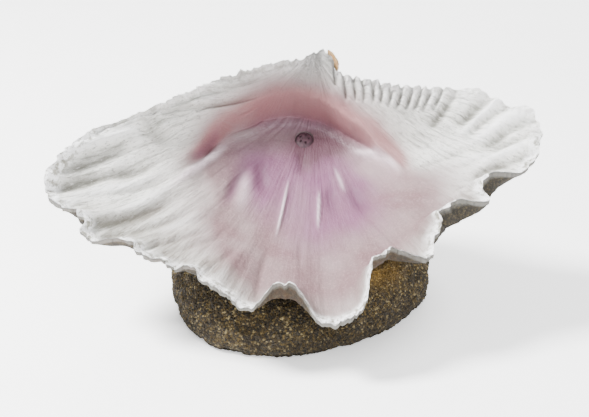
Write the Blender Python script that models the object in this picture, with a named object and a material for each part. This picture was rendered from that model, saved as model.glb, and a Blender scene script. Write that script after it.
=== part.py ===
"""Bubbling clam-shell ornament: a cast resin valve bedded in putty on a hollow resin rock.

Air from an aquarium pump enters through a push-in cartridge at the back of the rock, leaves
the air stone as bubbles, climbs the riser and comes out of the perforated cap in the hollow
under the shell's hinge. The cartridge (bung, hose barb, sleeve, stone) pulls out to the rear.

Shapes are worked out in millimetres and scaled to metres when a mesh is made. X is to the
right of someone facing the open shell, Y points away from them and Z is up.
"""

from bisect import bisect_right
from math import atan2, cos, degrees, exp, hypot, pi, radians, sin

import bmesh
import bpy
from mathutils import Matrix, Vector
from mathutils.bvhtree import BVHTree

MM = 0.001
GAP = 0.3  # between pieces that touch

# Where the ornament's own axes stand, so that its box is centred on the origin.
STAND = (1.73, -5.97)

# The shell's rim lies near a plane that leans towards the viewer. Points on it are
# (across, towards the hinge, off the plane); the plane's own centre is RIM_CENTRE.
RIM_TILT = radians(33)
RIM_CENTRE = Vector((0, 0, 59.5))
BOWL_CENTRE = Vector((0, 5, 0))
OUTLET = Vector((1.5, 28, 0))
WING_DEPTH = 22
HOLLOW_DEPTH = 27
RIM_THICKNESS = 1.4
FLOOR_THICKNESS = 4.5
BORE_RADIUS = 3.6

# The rim with its notches filled in, anticlockwise from the front lobe.
RIM = (
    (14, -63.5, -2), (21, -60, -1), (31, -51, 0), (43, -41.5, 0), (50, -31, 0),
    (65, -21, 0), (73, -10, 0), (83, 0, 0), (87, 10.5, 2), (83, 19.5, 3),
    (75, 23, 1.5), (67, 28, 3), (57, 30.5, 1), (46.5, 32.5, 0), (36.5, 34, -1),
    (26, 37.5, -2), (14.5, 41.5, -3), (9, 47.5, 2), (2, 46, 0), (-11, 43.5, 0),
    (-25, 39, 0), (-41.5, 30.5, 0), (-59, 21.5, 0), (-72, 16, 0), (-83, 7, 0),
    (-88, 0, 0), (-90, -13, 0), (-85, -19.5, 0), (-78.5, -27, 0), (-73, -32.5, -1),
    (-62, -35, 0), (-49, -41, 0), (-40, -45.5, 0), (-29, -52, 0), (-18, -58.5, -2),
    (-3, -62, -1),
)
# Notches between the lobes: bearing, half width in degrees, depth, lift, and how much of
# the depth the rough side shares.
NOTCHES = (
    (-95, 7.5, 9, 4, 0.6), (-59, 10, 9.5, 4, 0.85), (-26, 6, 7, 3, 0.2), (-13, 4, 4, 2, 0),
    (-160, 3, 2.5, 1.5, 0), (-148, 3.5, 2, 1.5, 0), (-127, 3, 2, 1.5, 0),
)
# Folds that fan out to the lobes: bearing, half width in degrees, depth.
FOLDS = (
    (-78, 9, 2.6), (-44, 8, 2.2), (-19, 4, 1.4), (-4, 5, 1.6), (-109, 9, 2.4),
    (-137, 8, 2.0), (-154, 3.5, 1.4), (-168, 5, 1.8), (178, 5, 1.6), (168, 3.5, 1.2),
)
# The crease round the hollow under the hinge: bearing, reach from the bowl's centre, half the
# width of the step there and the floor's depth. It dies away round the front.
CREASE = (
    (-90, 30, 14, 20), (-30, 33, 14, 19.5), (-8, 36, 9, 19.5), (8, 35.5, 3, 21),
    (28, 31, 1.3, 25), (53, 29.5, 1.2, 27), (80, 32, 1.2, 28), (97, 33.5, 1.2, 28),
    (120, 33.5, 1.2, 26), (145, 35, 1.3, 23), (160, 37.5, 1.8, 21.5), (178, 41, 5, 20.5),
    (200, 40, 11, 20), (240, 34, 14, 20),
)
LIP_OVERHANG = 2.6
POCKET_REACH = 1.6

# The rock's outline on the floor, anticlockwise from the front.
ROCK = (
    (0, -36.5), (9, -32.5), (21, -26), (31, -18.5), (39, -8), (45, 2), (47, 14), (44, 29),
    (34, 43), (18, 52), (2, 54), (-16, 52), (-34, 43), (-44, 29), (-47.5, 14), (-45.5, 1),
    (-41, -16), (-31, -30), (-17, -36),
)
ROCK_CENTRE = Vector((0, 8, 0))
ROCK_WALL = 8.5
ROCK_ROOF = 7
ROCK_FRONT = 21.5
ROCK_BACK = 47
SHOULDER = 0.72  # share of the way out where the rock's top starts to round over
SHOULDER_DROP = 12
SEATED = (0, 0.12, 0.26, 0.4, 0.54, 0.66, 0.76)  # shares of the way out under the putty
SEAT_GAP = 2.9  # between the rock's top and the shell, filled by the putty bed

# The air cartridge lies along Y. Distances along it are Y values.
CARTRIDGE_HEIGHT = 14
PORT_RADIUS = 8
PORT_SEAT = 49
BUNG_HEAD_RADIUS = 9.6
BARB_TIP = 64
STONE_RADIUS = 6.3
STONE_FRONT = 14
STONE_BACK = 34
CAP_HOLES = 5

COLUMNS = 96
SMOOTH_ANGLE = radians(50)


def ease(low, high, x):
    """Rises smoothly from 0 at low to 1 at high."""
    t = min(1, max(0, (x - low) / (high - low)))
    return t * t * (3 - 2 * t)


def turned(degrees_apart):
    """A difference of bearings, brought between -180 and 180 degrees."""
    return (degrees_apart + 180) % 360 - 180


def bearing(spot, centre):
    return degrees(atan2(spot.y - centre.y, spot.x - centre.x))


def reach(spot, centre):
    return hypot(spot.x - centre.x, spot.y - centre.y)


class ClosedCurve:
    """A smooth closed curve through stations, read by length or by bearing from a centre."""

    STEPS = 10

    def __init__(self, stations, centre):
        points = [Vector(tuple(s) + (0,) * (3 - len(s))) for s in stations]
        self.points = []
        for i, start in enumerate(points):
            end = points[(i + 1) % len(points)]
            leaving = self.slope(points[i - 1], start, end)
            arriving = self.slope(start, end, points[(i + 2) % len(points)])
            chord = (end - start).length
            for k in range(self.STEPS):
                t = k / self.STEPS
                self.points.append(
                    start * (1 - 3 * t * t + 2 * t**3) + end * (3 * t * t - 2 * t**3)
                    + leaving * chord * (t - 2 * t * t + t**3)
                    + arriving * chord * (t**3 - t * t)
                )
        self.points.append(self.points[0].copy())
        self.lengths = [0]
        self.bearings = [bearing(self.points[0], centre)]
        for a, b in zip(self.points, self.points[1:]):
            self.lengths.append(self.lengths[-1] + (b - a).length)
            step = turned(bearing(b, centre) - bearing(a, centre))
            self.bearings.append(self.bearings[-1] + step)

    @staticmethod
    def slope(before, here, after):
        d0, d1 = (here - before).length, (after - here).length
        return ((here - before) * d1 / d0 + (after - here) * d0 / d1) / (d0 + d1)

    def read(self, scale, wanted):
        i = min(max(bisect_right(scale, wanted), 1), len(self.points) - 1)
        share = (wanted - scale[i - 1]) / (scale[i] - scale[i - 1])
        return self.points[i - 1].lerp(self.points[i], share)

    def at(self, share):
        return self.read(self.lengths, (share % 1) * self.lengths[-1])

    def towards(self, angle):
        first = self.bearings[0]
        return self.read(self.bearings, first + (angle - first) % 360)


RIM_CURVE = ClosedCurve(RIM, BOWL_CENTRE)
ROCK_CURVE = ClosedCurve(ROCK, ROCK_CENTRE)


def from_rim(point):
    """A point given on the rim's plane, in the ornament's frame."""
    return RIM_CENTRE + Matrix.Rotation(RIM_TILT, 3, "X") @ point


def notch(angle):
    """How far the rim is pulled in and lifted at this bearing, and the rough side's pull."""
    pull = lift = shared = 0
    for centre, half, depth, rise, rough in NOTCHES:
        share = exp(-((turned(angle - centre) / half) ** 4))
        pull += depth * share
        lift += rise * share
        shared += depth * share * rough
    return pull, lift, shared


def fold(angle):
    """How deep the fans of folds are at this bearing."""
    return sum(d * exp(-((turned(angle - c) / h) ** 2)) for c, h, d in FOLDS)


def crease(angle):
    """The crease's reach, the half width of its step and the floor's depth at this bearing."""
    for low, high in zip(CREASE, CREASE[1:] + CREASE[:1]):
        width = (high[0] - low[0]) % 360
        along = (angle - low[0]) % 360
        if along < width:
            t = ease(0, width, along)
            return [a + (b - a) * t for a, b in zip(low[1:], high[1:])]


def flat_spot(rim, out):
    """The shell's grid laid flat: out runs from the outlet's bore, 0, to the rim, 1."""
    centre = BOWL_CENTRE + (OUTLET - BOWL_CENTRE) * max(0, 1 - out) ** 1.2
    spoke = Vector((rim.x - BOWL_CENTRE.x, rim.y - BOWL_CENTRE.y, 0))
    return centre + spoke.normalized() * BORE_RADIUS * (1 - out) + spoke * out


def crossing(rim, past):
    """Where one line of the grid is so many half widths past the middle of the crease."""
    low, high = 0, 1
    for _ in range(20):
        middle = (low + high) / 2
        spot = flat_spot(rim, middle)
        turn, half, _ = crease(bearing(spot, BOWL_CENTRE))
        if reach(spot, BOWL_CENTRE) < turn + half * past:
            low = middle
        else:
            high = middle
    return low


def heights(spot):
    """At a flat spot: bearing, share of the way to the rim, hollow's and wing's heights, step."""
    angle = bearing(spot, BOWL_CENTRE)
    rim = RIM_CURVE.towards(angle)
    away = reach(spot, BOWL_CENTRE)
    share = away / reach(rim, BOWL_CENTRE)
    turn, half, depth = crease(angle)
    hollow = -HOLLOW_DEPTH + (HOLLOW_DEPTH - depth) * min(1.3, away / turn) ** 2
    wing = rim.z * share**2 - WING_DEPTH * (1 - share**2.2)
    return angle, share, hollow, wing, (away - turn) / half, half


def outwards(spot):
    return Vector((spot.x - BOWL_CENTRE.x, spot.y - BOWL_CENTRE.y, 0)).normalized()


def nacre(spot):
    """The shell's pearly side over a flat spot."""
    angle, share, hollow, wing, past, half = heights(spot)
    pull, lift, _ = notch(angle)
    step = ease(-1, 1, past)
    height = hollow * (1 - step) + wing * step
    height += lift * share**6 - fold(angle) * share**3 * (1 - share**12 / 2)
    sharp = 1 - ease(1.5, 5, half)
    lip = LIP_OVERHANG * exp(-((past - 1.2) ** 2))
    pocket = POCKET_REACH * exp(-((past + 1.2) ** 2))
    moved = (pocket - lip) * sharp - pull * ease(0.72, 1, share)
    return spot + outwards(spot) * moved + Vector((0, 0, height))


def rough(spot):
    """The shell's outer side, with the older growth shelf that shows under each notch."""
    angle, share, hollow, wing, past, half = heights(spot)
    pull, lift, shared = notch(angle)
    last = ease(0.95, 1, share)
    behind = max(0, sin(radians(angle)))
    thick = RIM_THICKNESS + (FLOOR_THICKNESS - RIM_THICKNESS) * (1 - share**3)
    wide = ease(0, 2 * max(half, 9), past * half)
    step = wide + (ease(0.76, 1, share) - wide) * behind
    height = hollow * (1 - step) + wing * step - thick
    height += lift * last - fold(angle) * share**2
    bulge = (1 + 6 * behind**2) * ease(0.45, 0.85, share) * (1 - min(1, share) ** 8)
    moved = bulge - shared * ease(0.6, 0.95, share) - (pull - shared) * last
    return spot + outwards(spot) * moved + Vector((0, 0, height))


def over(side, x, y):
    """The point of one side of the shell at this X and Y, closed in on from the hollow."""
    spot = Vector((x, (y - HOLLOW_DEPTH * sin(RIM_TILT)) / cos(RIM_TILT), 0))
    for _ in range(30):
        point = from_rim(side(spot))
        spot.x += (x - point.x) * 0.6
        spot.y += (y - point.y) * 0.6
    return from_rim(side(spot))


OUTLET_AXIS = from_rim(nacre(OUTLET))
OUTLET_SLOPE = (from_rim(nacre(OUTLET + Vector((0, 2, 0)))) - OUTLET_AXIS).normalized()


def round_bore(side, rim):
    angle = radians(bearing(rim, BOWL_CENTRE))
    ring = Vector((cos(angle), sin(angle), 0)) * BORE_RADIUS
    return over(side, OUTLET_AXIS.x + ring.x, OUTLET_AXIS.y + ring.y)


def wrapped_body(name, around, section, material):
    """A closed body from a grid wrapped both ways; section(share) is a loop of points in mm."""
    sections = [section(i / around) for i in range(around)]
    along = len(sections[0])
    mesh = bmesh.new()
    bmesh.ops.create_grid(mesh, x_segments=around, y_segments=along, size=0.5)
    for vert in mesh.verts:
        i = round((vert.co.x + 0.5) * around) % around
        j = round((vert.co.y + 0.5) * along) % along
        vert.co = sections[i][j] * MM
    bmesh.ops.remove_doubles(mesh, verts=mesh.verts, dist=1e-7)
    return finished(name, mesh, material)


def finished(name, mesh, material):
    """Turns a bmesh into an object that faces outwards and stands with the ornament."""
    bmesh.ops.recalc_face_normals(mesh, faces=mesh.faces)
    data = bpy.data.meshes.new(name)
    mesh.to_mesh(data)
    mesh.free()
    data.shade_smooth()
    data.set_sharp_from_angle(angle=SMOOTH_ANGLE)
    if material:
        data.materials.append(material)
    made = bpy.data.objects.new(name, data)
    bpy.context.scene.collection.objects.link(made)
    return made


def turned_body(name, profile, place, material, sides=24):
    """Spins a profile of (radius, along) points round Z and puts it in place. A profile that
    starts off the axis is a ring's closed section."""
    mesh = bmesh.new()
    verts = [mesh.verts.new((r * MM, 0, z * MM)) for r, z in profile]
    edges = [mesh.edges.new(pair) for pair in zip(verts, verts[1:])]
    if profile[0][0] > 0:
        edges.append(mesh.edges.new((verts[-1], verts[0])))
    bmesh.ops.spin(
        mesh, geom=verts + edges, cent=(0, 0, 0), axis=(0, 0, 1), angle=2 * pi, steps=sides,
        use_merge=True,
    )
    bmesh.ops.remove_doubles(mesh, verts=mesh.verts, dist=1e-6)
    mesh.transform(place)
    return finished(name, mesh, material)


def upright(x, y, z=0):
    return Matrix.Translation(Vector((x, y, z)) * MM)


def rearward(y):
    """Lays a turned body's axis along +Y on the cartridge's own line, from this Y."""
    at = Vector((OUTLET_AXIS.x, y, CARTRIDGE_HEIGHT)) * MM
    return Matrix.Translation(at) @ Matrix.Rotation(-pi / 2, 4, "X")


def cut(body, name, radius, place, length, sides=24):
    """Bores a round hole through a body."""
    profile = ((0, 0), (radius, 0), (radius, length), (0, length))
    tool = turned_body(name, profile, place, None, sides)
    tool.hide_render = True
    tool.display_type = "WIRE"
    tool.parent = body
    step = body.modifiers.new(name, "BOOLEAN")
    step.operation = "DIFFERENCE"
    step.solver = "EXACT"
    step.object = tool


def finish(name, colour, roughness, metallic=0.0):
    made = bpy.data.materials.new(name)
    made.use_nodes = True
    shader = made.node_tree.nodes["Principled BSDF"]
    shader.inputs["Base Color"].default_value = (*colour, 1)
    shader.inputs["Roughness"].default_value = roughness
    shader.inputs["Metallic"].default_value = metallic
    return made


def shell_valve():
    def section(share):
        rim = RIM_CURVE.at(share)
        step = [crossing(rim, past) for past in (-1.6, -1, -0.4, 0.3, 1, 1.8)]
        floor = [step[0] * (i / 6) for i in range(1, 6)]
        wing = [step[-1] + (1 - step[-1]) * i / 6 for i in range(1, 6)] + [1]
        back = (1, 0.975, 0.94, 0.9, 0.85, 0.79, 0.72, 0.6, 0.46, 0.32, 0.16)
        loop = [from_rim(nacre(flat_spot(rim, out))) for out in floor + step + wing]
        loop += [from_rim(rough(flat_spot(rim, out))) for out in back]
        return [round_bore(nacre, rim), *loop, round_bore(rough, rim)]

    return wrapped_body("shell_valve", COLUMNS, section, finish("nacre", (0.86, 0.82, 0.84), 0.3))


def ceiling_finder(body):
    """Reads how high the underside of a body is above a spot of the floor, in mm."""
    tree = BVHTree.FromObject(body, bpy.context.evaluated_depsgraph_get())

    def height(x, y):
        aside = Vector((x - OUTLET_AXIS.x, y - OUTLET_AXIS.y, 0))
        if aside.length < BORE_RADIUS + 1:
            aside = aside.normalized() * (BORE_RADIUS + 1)
        start = Vector((OUTLET_AXIS.x, OUTLET_AXIS.y, -10)) + aside
        hit = tree.ray_cast(start * MM, Vector((0, 0, 1)))[0]
        return hit.z / MM if hit else 1000

    return height


def rock_spot(edge, out):
    """A spot of the rock between the riser's bore, 0, and the outline, 1."""
    spoke = edge - ROCK_CENTRE
    axis = Vector((OUTLET_AXIS.x, OUTLET_AXIS.y, 0))
    centre = ROCK_CENTRE + (axis - ROCK_CENTRE) * max(0, 1 - out) ** 1.15
    return centre + spoke.normalized() * BORE_RADIUS * (1 - out) + spoke * out


def rock_top(shell_at, spot, out):
    """The rock's upper side: low at the front, hugging the shell's belly at the back."""
    slope = ROCK_FRONT + (ROCK_BACK - ROCK_FRONT) * ease(-5, 46, spot.y)
    drop = SHOULDER_DROP * max(0, (out - SHOULDER) / (1 - SHOULDER)) ** 2
    return min(slope, shell_at(spot.x, spot.y) - SEAT_GAP) - drop


def rock_base(shell_at):
    def section(share):
        edge = ROCK_CURVE.at(share)
        inner = 1 - ROCK_WALL / (edge - ROCK_CENTRE).length
        loop = []
        for out in (*SEATED, 0.85, 0.92, 0.975, 1):
            spot = rock_spot(edge, out)
            loop.append(Vector((spot.x, spot.y, rock_top(shell_at, spot, out))))
        for out, height in ((1.02, 6), (1.015, 3), (0.985, 0), (inner, 0), (inner, 4)):
            loop.append(rock_spot(edge, 1) + (edge - ROCK_CENTRE) * (out - 1))
            loop[-1].z = height
        for out in (0.93, 0.78, 0.58, 0.38, 0.18, 0):
            spot = rock_spot(edge, inner * out)
            roof = rock_top(shell_at, spot, out) - ROCK_ROOF
            loop.append(Vector((spot.x, spot.y, roof)))
        return loop

    body = wrapped_body("rock_base", 60, section, finish("rock", (0.2, 0.16, 0.11), 0.9))
    cut(body, "port_cutter", PORT_RADIUS, rearward(PORT_SEAT - 12), 40)
    cut(body, "seat_cutter", BUNG_HEAD_RADIUS + 0.8, rearward(PORT_SEAT), 20)
    return body


def bond_bed(shell_at):
    def section(share):
        edge = ROCK_CURVE.at(share)
        upper, lower = [], []
        for out in SEATED:
            spot = rock_spot(edge, out)
            seat = rock_top(shell_at, spot, out) + 2 * GAP
            roof = min(shell_at(spot.x, spot.y) - 3 * GAP, seat + 1 + 9 * (1 - out))
            upper.append(Vector((spot.x, spot.y, roof)))
            lower.append(Vector((spot.x, spot.y, seat)))
        return upper + lower[::-1]

    return wrapped_body("bond_bed", 60, section, finish("putty", (0.4, 0.3, 0.16), 0.85))


def scarf(body, above):
    """Leans everything above a height along the floor of the hollow."""
    for vert in body.data.vertices:
        if vert.co.z > above * MM:
            vert.co.z += (vert.co.y - OUTLET_AXIS.y * MM) * OUTLET_SLOPE.z / OUTLET_SLOPE.y


def riser_sleeve(bottom, top):
    """The tube that carries the bubbles from the rock's chamber up to the cap."""
    outer, inner = BORE_RADIUS - GAP, BORE_RADIUS - GAP - 0.8
    profile = ((outer, 0), (outer, top - bottom), (inner, top - bottom), (inner, 0))
    place = upright(OUTLET_AXIS.x, OUTLET_AXIS.y, bottom)
    clear = finish("clear_pvc", (0.78, 0.82, 0.82), 0.25)
    sleeve = turned_body("riser_sleeve", profile, place, clear)
    scarf(sleeve, (bottom + top) / 2)
    return sleeve


def bubble_cap(bottom):
    """The pierced cap over the riser, let into the floor of the hollow."""
    outer = BORE_RADIUS - GAP
    profile = (
        (0, 3.4), (1.3, 3.3), (2.4, 3), (outer, 2.4), (outer, 0), (outer - 0.8, 0),
        (outer - 0.8, 1.7), (1.4, 2.1), (0, 2.2),
    )
    plum = finish("plum_paint", (0.3, 0.12, 0.22), 0.45)
    cap = turned_body("bubble_cap", profile, upright(OUTLET_AXIS.x, OUTLET_AXIS.y, bottom), plum)
    scarf(cap, 0)
    for i in range(CAP_HOLES):
        angle = 2 * pi * i / CAP_HOLES
        x = OUTLET_AXIS.x + 1.6 * cos(angle)
        y = OUTLET_AXIS.y + 1.6 * sin(angle)
        cut(cap, f"hole_cutter_{i}", 0.5, upright(x, y, bottom - 3), 10, 8)
    return cap


def umbo_ligament():
    """The tan wedge of ligament on the right of the beak."""
    mesh = bmesh.new()
    bmesh.ops.create_cube(mesh, size=1)
    bmesh.ops.subdivide_edges(mesh, edges=mesh.edges, cuts=3, use_grid_fill=True)
    near, far = RIM_CURVE.towards(78), RIM_CURVE.towards(70)
    along = (far - near).normalized()
    out = along.cross(Vector((0, 0, 1))) * -1
    for vert in mesh.verts:
        x, y, z = vert.co
        round_off = 1 - 0.5 * (2 * x) ** 4
        place = near.lerp(far, 0.5) + along * x * 6.6
        place += out * (GAP + 0.5 + (y + 0.5) * 1.8 * round_off)
        place.z += -1.5 + z * 4.6 * (1 - 0.35 * (y + 0.5))
        vert.co = from_rim(place) * MM
    return finished("umbo_ligament", mesh, finish("ligament", (0.55, 0.32, 0.12), 0.55))


def air_cartridge():
    """Everything that pulls out of the port in one go, hung from the bung."""
    seat = PORT_SEAT + GAP
    body = PORT_RADIUS - GAP
    rubber = finish("black_rubber", (0.03, 0.03, 0.032), 0.7)
    profile = (
        (2.8, -5.5), (body - 0.5, -5.5), (body, -4.5), (body, 0), (BUNG_HEAD_RADIUS, 0),
        (BUNG_HEAD_RADIUS, 2.4), (BUNG_HEAD_RADIUS - 0.6, 3), (2.8, 3),
    )
    bung = turned_body("rubber_bung", profile, rearward(seat), rubber, 32)
    barb = [(1.1, 0), (2.0, 0), (2.5, 1.6), (2.5, seat + 4 - 41), (3.4, seat + 4 - 41)]
    flange = seat + 5 - 41
    barb += [(3.4, flange), (2.1, flange), (2.1, flange + 1.5)]
    while barb[-1][1] + 3 < BARB_TIP - 41:
        z = barb[-1][1]
        barb += [(2.7, z), (2.1, z + 2.6)]
    barb += [(1.9, BARB_TIP - 41), (1.1, BARB_TIP - 41)]
    white = finish("white_nylon", (0.75, 0.75, 0.72), 0.4)
    fitting = turned_body("air_inlet_barb", barb, rearward(41), white)
    silicone = finish("silicone", (0.7, 0.72, 0.7), 0.35)
    sleeve = turned_body(
        "stone_sleeve", ((2.8, 0), (3.8, 0), (3.8, 8), (2.8, 8)), rearward(35.8), silicone,
    )
    nipple = turned_body(
        "stone_nipple", ((1.1, 0), (2.5, 0), (2.5, 7), (1.1, 7)), rearward(33.6), white, 20,
    )
    stone_length = STONE_BACK - STONE_FRONT
    stone = turned_body(
        "air_stone",
        (
            (0, 0), (STONE_RADIUS - 0.8, 0), (STONE_RADIUS, 0.8), (STONE_RADIUS, stone_length - 0.8),
            (STONE_RADIUS - 0.8, stone_length), (2.8, stone_length), (2.8, stone_length - 4),
            (0, stone_length - 4),
        ),
        rearward(STONE_FRONT), finish("sintered_stone", (0.12, 0.2, 0.32), 0.95), 28,
    )
    return [bung, fitting, sleeve, nipple, stone]


def build():
    for old in list(bpy.data.objects):
        bpy.data.objects.remove(old)
    shell = shell_valve()
    bpy.context.view_layer.update()
    shell_at = ceiling_finder(shell)
    rock_base(shell_at)
    bond_bed(shell_at)
    floor = OUTLET_AXIS.z
    riser_sleeve(ROCK_BACK - ROCK_ROOF - 3, floor - 3.3)
    bubble_cap(floor - 3)
    umbo_ligament()
    air_cartridge()
    for thing in bpy.data.objects:
        if not thing.parent:
            thing.location += Vector((*STAND, 0)) * MM


build()
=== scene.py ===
from math import pi, radians

import bmesh
import bpy
import numpy as np
from mathutils import Matrix, Vector, noise


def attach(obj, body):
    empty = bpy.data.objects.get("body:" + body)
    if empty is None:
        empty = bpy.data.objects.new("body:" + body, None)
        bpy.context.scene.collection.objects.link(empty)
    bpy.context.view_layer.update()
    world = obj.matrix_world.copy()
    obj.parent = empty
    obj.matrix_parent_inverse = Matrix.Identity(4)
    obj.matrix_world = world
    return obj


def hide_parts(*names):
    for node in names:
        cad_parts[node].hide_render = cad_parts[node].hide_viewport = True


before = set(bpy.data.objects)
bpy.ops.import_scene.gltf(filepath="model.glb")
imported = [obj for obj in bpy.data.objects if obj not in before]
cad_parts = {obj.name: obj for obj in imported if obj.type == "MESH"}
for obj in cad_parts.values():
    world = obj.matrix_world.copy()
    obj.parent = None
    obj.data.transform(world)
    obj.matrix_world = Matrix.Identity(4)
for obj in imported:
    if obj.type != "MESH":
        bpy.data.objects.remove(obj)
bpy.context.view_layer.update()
mm = 0.001
scene = bpy.context.scene
stand = np.array((1.73, -5.97, 0))  # moves the ornament so that its box is centred over the origin

view = {
    "lens": 100, "sensor": 36, "distance": 0.589, "elevation": 25, "target": (-0.00047, -0.00597, 0.0406),
}
light = {
    "sky": 1.0,
    "key": ((-0.46, -0.02, 0.62), 0.2, 22),  # place, size, watts
    "fill": ((0.30, -0.8, 0.55), 0.5, 7),
    "back": ((0.25, 0.75, 0.45), 0.5, 4),
}


def linear(hexColour):
    parts = [int(hexColour[i:i + 2], 16) / 255 for i in (1, 3, 5)]
    return [c / 12.92 if c < 0.04045 else ((c + 0.055) / 1.055) ** 2.4 for c in parts] + [1]


def setCamera():
    data = bpy.data.cameras.new("camera")
    data.lens, data.sensor_width = view["lens"], view["sensor"]
    data.clip_start, data.clip_end = 0.01, 20
    camera = bpy.data.objects.new("camera", data)
    scene.collection.objects.link(camera)
    tilt = Matrix.Rotation(radians(90 - view["elevation"]), 4, "X")
    camera.matrix_world = Matrix.Translation(view["target"]) @ tilt @ Matrix.Translation((0, 0, view["distance"]))
    scene.camera = camera


def setLights():
    world = bpy.data.worlds.new("studio")
    world.use_nodes = True
    sky = world.node_tree.nodes["Background"]
    sky.inputs["Color"].default_value = linear("#fbfcff")
    sky.inputs["Strength"].default_value = light["sky"]
    scene.world = world
    for name in ("key", "fill", "back"):
        place, size, power = light[name]
        data = bpy.data.lights.new(name, "AREA")
        data.shape, data.size, data.energy = "DISK", size, power
        lamp = bpy.data.objects.new(name, data)
        scene.collection.objects.link(lamp)
        lamp.location = place
        lamp.rotation_euler = (Vector((0, 0, 0.04)) - Vector(place)).to_track_quat("-Z", "Y").to_euler()


setCamera()
setLights()
print("camera and lights are set")


def addNode(tree, kind, settings, inputs):
    made = tree.nodes.new("ShaderNode" + kind)
    for name, value in settings.items():
        setattr(made, name, value)
    for key, value in inputs.items():
        if isinstance(value, bpy.types.NodeSocket):
            tree.links.new(value, made.inputs[key])
        else:
            made.inputs[key].default_value = linear(value) if isinstance(value, str) else value
    return made


def newMaterial(name, settings):
    made = bpy.data.materials.new(name)
    made.use_nodes = True
    shader = made.node_tree.nodes["Principled BSDF"]
    for key, value in settings.items():
        shader.inputs[key].default_value = linear(value) if isinstance(value, str) else value
    place = addNode(made.node_tree, "TexCoord", {}, {}).outputs["Object"]
    return made, made.node_tree, shader, place


def layerColours(tree, colour, layers):
    # each layer: a mask or None, a pattern, the pattern's low and high, the share of the layer there, its colour
    for mask, pattern, low, high, least, most, over in layers:
        share = addNode(tree, "MapRange", {}, {"Value": pattern, 1: low, 2: high, 3: least, 4: most}).outputs[0]
        if mask:
            share = addNode(tree, "Math", {"operation": "MULTIPLY"}, {0: mask, 1: share}).outputs[0]
        colour = addNode(tree, "Mix", {"data_type": "RGBA"}, {0: share, 6: colour, 7: over}).outputs[2]
    return colour


def layerBumps(tree, bumps):
    # each bump: a pattern, its height in metres, its strength
    normal = None
    for pattern, height, strength in bumps:
        inputs = {"Height": pattern, "Distance": height, "Strength": strength}
        if normal:
            inputs["Normal"] = normal
        normal = addNode(tree, "Bump", {}, inputs).outputs[0]
    return normal


def joinUp(tree, shader, colour, pattern, smooth, rough, bumps):
    # colour, a roughness that follows one pattern, and bumps
    gloss = addNode(tree, "MapRange", {}, {"Value": pattern, 1: 0.3, 2: 0.7, 3: smooth, 4: rough}).outputs[0]
    for name, socket in (("Base Color", colour), ("Roughness", gloss), ("Normal", layerBumps(tree, bumps))):
        tree.links.new(socket, shader.inputs[name])


def ease(low, high, x):
    # 0 at low and 1 at high, whichever of them is larger
    t = np.clip((x - low) / (high - low), 0, 1)
    return t * t * (3 - 2 * t)


def between(x, start, full, last, end):
    # 0 outside start and end, 1 from full to last
    return ease(start, full, x) * (1 - ease(last, end, x))


def hump(x, centre, width):
    return np.exp(-(((x - centre) / width) ** 2))


def unit(v):
    return v / np.maximum(1e-6, np.linalg.norm(v, axis=-1, keepdims=True))


def lumps(*coordinates):
    # soft noise between -1 and 1, its lumps about 1 across
    flat = np.stack(np.broadcast_arrays(*coordinates), -1).reshape(-1, 3)
    shape = np.broadcast_shapes(*(np.shape(c) for c in coordinates))
    return np.array([noise.noise(p) for p in flat.tolist()]).reshape(shape)


def closedCurve(stations, steps=12):
    points = np.array([tuple(s) + (0,) * (3 - len(s)) for s in stations], float)
    before, after = np.roll(points, 1, 0), np.roll(points, -1, 0)
    d0 = np.linalg.norm(points - before, axis=1, keepdims=True)
    d1 = np.linalg.norm(after - points, axis=1, keepdims=True)
    slope = ((points - before) * d1 / d0 + (after - points) * d0 / d1) / (d0 + d1)
    t = (np.arange(steps) / steps)[None, :, None]
    p, q, a, b = points[:, None], after[:, None], (slope * d1)[:, None], (np.roll(slope, -1, 0) * d1)[:, None]
    dense = p * (1 - 3 * t**2 + 2 * t**3) + q * (3 * t**2 - 2 * t**3)
    dense = (dense + a * (t - 2 * t**2 + t**3) + b * (t**3 - t**2)).reshape(-1, 3)
    return np.vstack([dense, dense[:1]])


def lengthsAlong(curve):
    return np.concatenate([[0], np.cumsum(np.linalg.norm(np.diff(curve, axis=0), axis=1))])


def readCurve(curve, scale, wanted):
    return np.stack([np.interp(wanted, scale, curve[:, k]) for k in range(3)], -1)


def bearings(x, y, centre):
    return np.degrees(np.arctan2(y - centre[1], x - centre[0]))


def strokeShare(spot, points, width, fadeBoth):
    # 1 on a line through the points and 0 away from it, fading towards its ends
    points = np.array(points, float)
    low, high = points.min(0) - 3 * width, points.max(0) + 3 * width
    near = ((spot > low) & (spot < high)).all(-1)
    share = np.zeros(spot.shape[:-1])
    if not near.any():
        return share
    scale = lengthsAlong(points)
    knots = np.linspace(0, scale[-1], 4 * len(points))
    line = np.stack([np.interp(knots, scale, points[:, k]) for k in (0, 1)], -1)
    line[1:-1] = (line[:-2] + line[1:-1] * 2 + line[2:]) / 4
    here = spot[near]
    best, along = np.full(len(here), 1e9), np.zeros(len(here))
    for k, (a, b) in enumerate(zip(line[:-1], line[1:])):
        t = np.clip(((here - a) @ (b - a)) / ((b - a) @ (b - a)), 0, 1)
        apart = np.linalg.norm(here - a - t[:, None] * (b - a), axis=1)
        along = np.where(apart < best, (k + t) / (len(line) - 1), along)
        best = np.minimum(best, apart)
    fade = ease(0, 0.4, along) * ((1 - ease(0.6, 1, along)) if fadeBoth else 1)
    share[near] = hump(best, 0, width) * fade
    return share


def finishedPiece(name, mesh, sharp=60):
    bmesh.ops.recalc_face_normals(mesh, faces=mesh.faces)
    data = bpy.data.meshes.new(name)
    mesh.to_mesh(data)
    mesh.free()
    data.shade_smooth()
    data.set_sharp_from_angle(angle=radians(sharp))
    made = bpy.data.objects.new(name, data)
    scene.collection.objects.link(made)
    return made


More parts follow.
